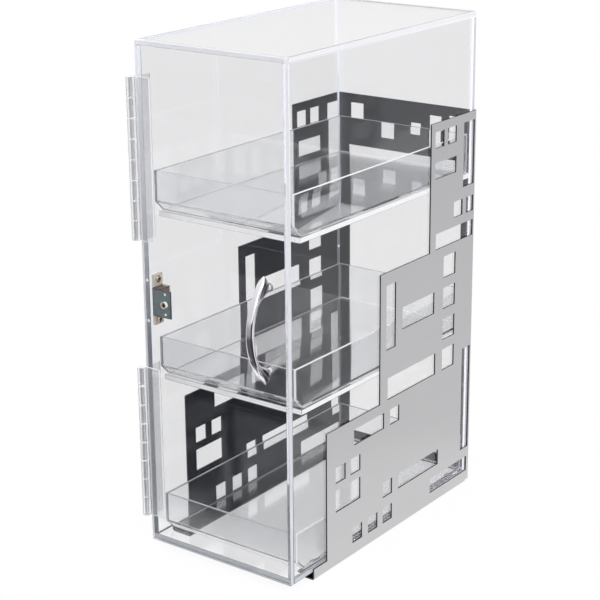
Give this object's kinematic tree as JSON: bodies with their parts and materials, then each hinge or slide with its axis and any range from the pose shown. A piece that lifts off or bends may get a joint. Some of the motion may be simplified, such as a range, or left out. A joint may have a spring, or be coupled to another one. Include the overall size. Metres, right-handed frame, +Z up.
{
  "type": "bread display case",
  "caption": "Tall clear counter case for bread with a hinged front door, stacked pull-out trays and a stepped, pierced steel sheet round its sides and back.",
  "frame": {"origin": "on the ground, under the middle of the outer box", "axes": "+Z up, door towards -Y, hinges at -X"},
  "size_m": [0.174, 0.333, 0.4881],
  "materials": {
    "case_acrylic": "polished clear sheet",
    "shelf_acrylic": "polished clear sheet",
    "tray_acrylic": "polished clear sheet",
    "hinge_plastic": "clear moulded plastic",
    "steel_sheet": "brushed satin",
    "bumper_rubber": "matte",
    "handle_chrome": "polished",
    "bracket_plastic": "moulded",
    "magnet_block": "matte",
    "zinc_plate": "dull zinc",
    "pin_steel": "satin",
    "screw_steel": "plated"
  },
  "bodies": {
    "case": {"left_wall": "case_acrylic", "right_wall": "case_acrylic", "back_wall": "case_acrylic", "top_panel": "case_acrylic", "bottom_panel": "case_acrylic", "upper_shelf": "shelf_acrylic", "lower_shelf": "shelf_acrylic", "steel_wrap": "steel_sheet", "bumper_feet": "bumper_rubber", "upper_hinge_wall_leaf": "hinge_plastic", "upper_hinge_pin": "pin_steel", "lower_hinge_wall_leaf": "hinge_plastic", "lower_hinge_pin": "pin_steel", "catch_bracket": "bracket_plastic", "catch_magnet": "magnet_block", "catch_pole_plates": "screw_steel", "catch_screws": "screw_steel"},
    "door": {"door_panel": "case_acrylic", "handle": "handle_chrome", "handle_screws": "screw_steel", "upper_hinge_door_leaf": "hinge_plastic", "lower_hinge_door_leaf": "hinge_plastic", "strike_plate": "zinc_plate", "strike_screw": "screw_steel"},
    "upper_tray_body": {"upper_tray": "tray_acrylic", "upper_tray_sides": "tray_acrylic"},
    "middle_tray_body": {"middle_tray": "tray_acrylic", "middle_tray_sides": "tray_acrylic"},
    "lower_tray_body": {"lower_tray": "tray_acrylic", "lower_tray_sides": "tray_acrylic"}
  },
  "joints": [
    {"name": "door_hinge", "type": "hinge", "parent": "case", "child": "door", "pos_m": [-0.08315, -0.1427, 0.2481], "axis": [0, 0, -1], "range_deg": [0, 258]},
    {"name": "upper_tray_slide", "type": "slide", "parent": "case", "child": "upper_tray_body", "axis": [0, -1, 0], "range_m": [0, 0.068]},
    {"name": "middle_tray_slide", "type": "slide", "parent": "case", "child": "middle_tray_body", "axis": [0, -1, 0], "range_m": [0, 0.068]},
    {"name": "lower_tray_slide", "type": "slide", "parent": "case", "child": "lower_tray_body", "axis": [0, -1, 0], "range_m": [0, 0.068]}
  ],
  "couplings": [
    {"joint": "upper_tray_slide", "follows": "door_hinge", "m_per_rad": 0.015},
    {"joint": "middle_tray_slide", "follows": "door_hinge", "m_per_rad": 0.015},
    {"joint": "lower_tray_slide", "follows": "door_hinge", "m_per_rad": 0.015}
  ]
}
